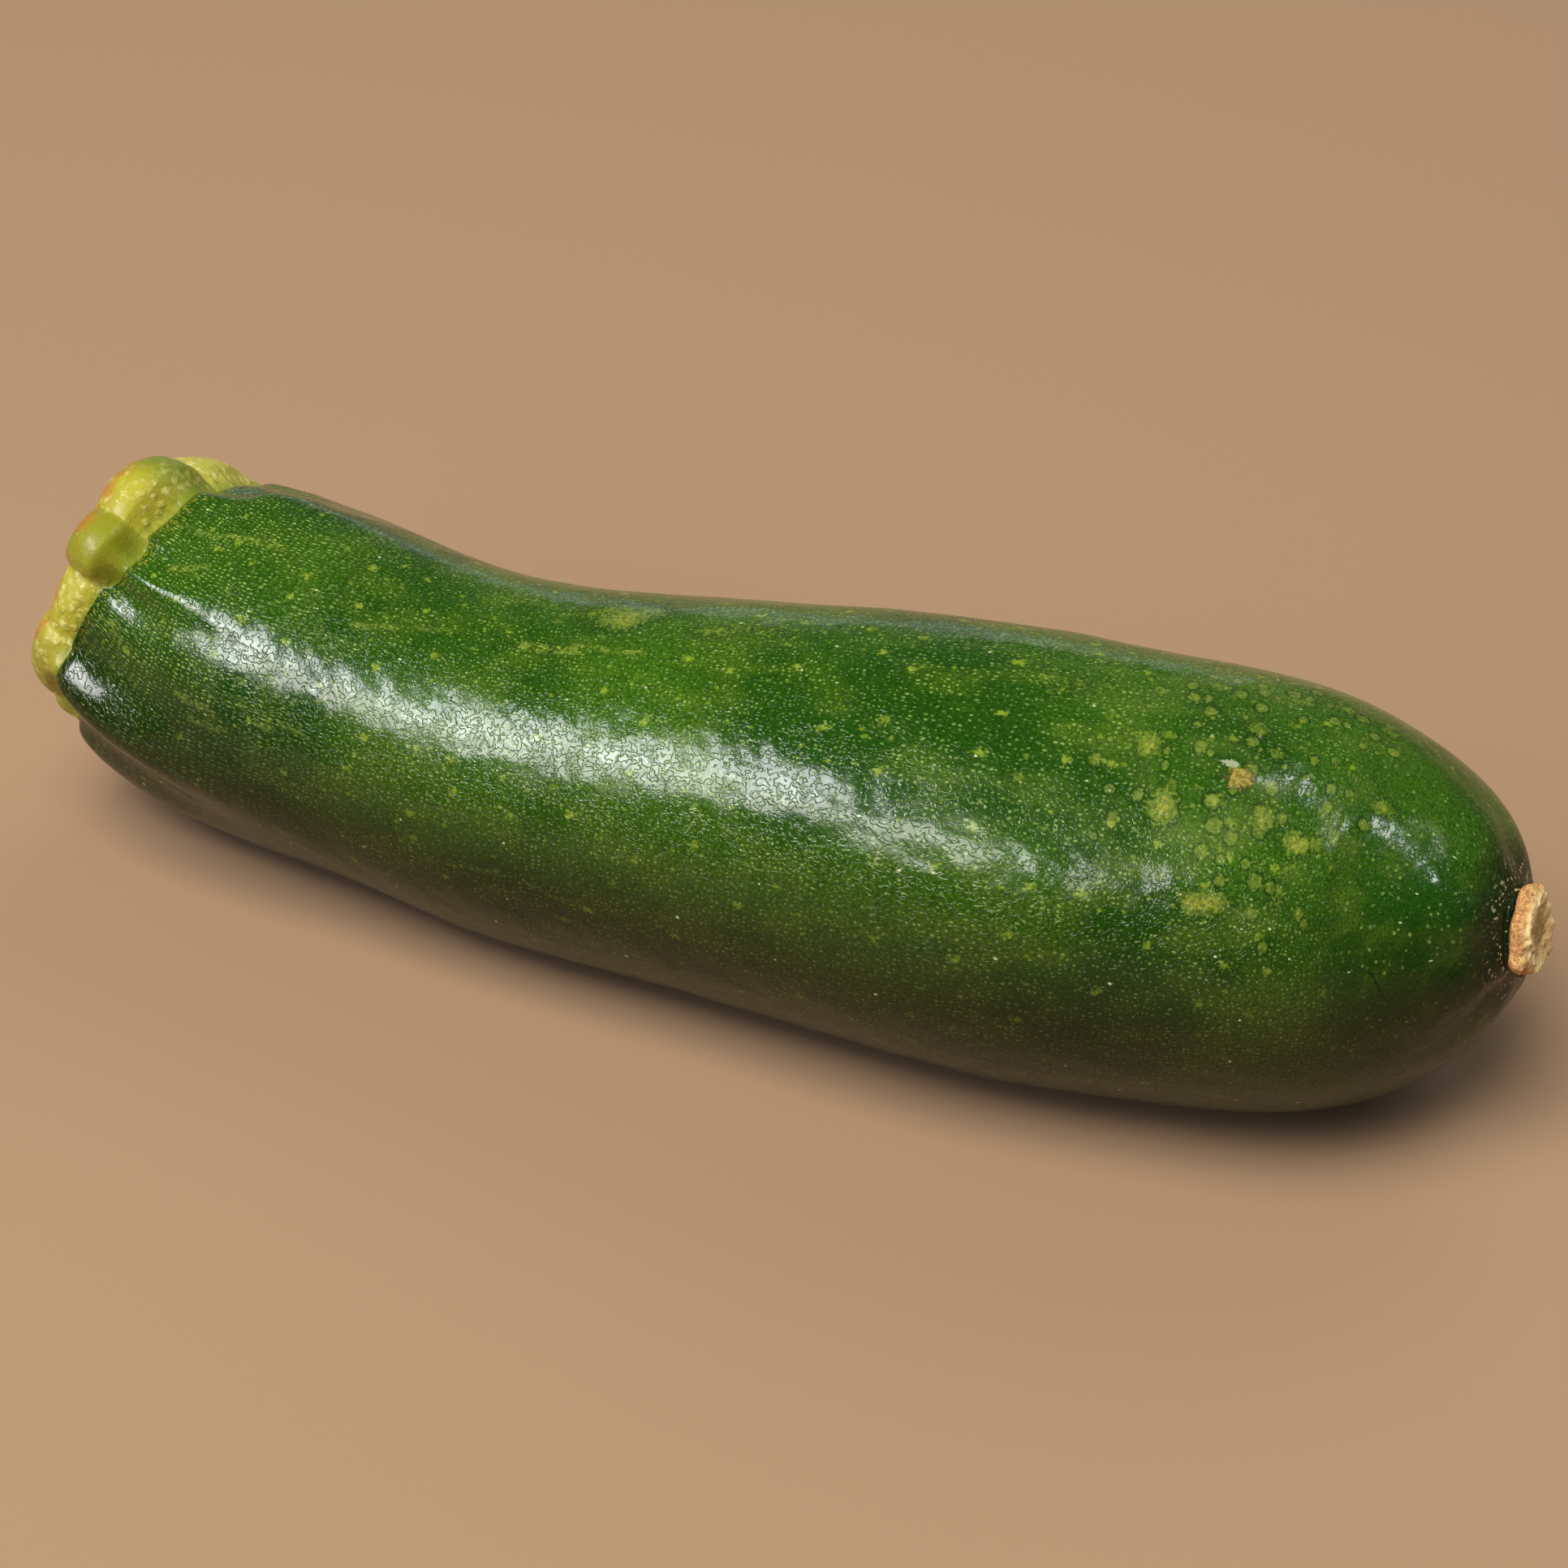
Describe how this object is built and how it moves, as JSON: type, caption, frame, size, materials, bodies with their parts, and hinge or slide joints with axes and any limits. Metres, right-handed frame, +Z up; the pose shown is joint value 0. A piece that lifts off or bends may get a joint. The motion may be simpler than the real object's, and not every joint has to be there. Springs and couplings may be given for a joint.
{
  "type": "courgette",
  "caption": "Whole green courgette with a ribbed neck, a cut-off knobbly stem and a corky blossom scar, lying on its slightly flattened belly.",
  "frame": {"origin": "middle of the courgette's footprint box, on the surface it rests on", "axes": "+X along the fruit from the stem towards the blossom end, +Z up, +Y completing a right-handed set"},
  "size_m": [0.1908, 0.0548, 0.052],
  "materials": {
    "skin": "waxy semi-gloss plant skin, dark green with fine pale flecks",
    "stem": "satin yellow-green plant stem",
    "cork": "dry, rough, corky tan"
  },
  "bodies": {
    "root": {"fruit": "skin", "stem": "stem", "blossom_scar": "cork"}
  },
  "joints": []
}
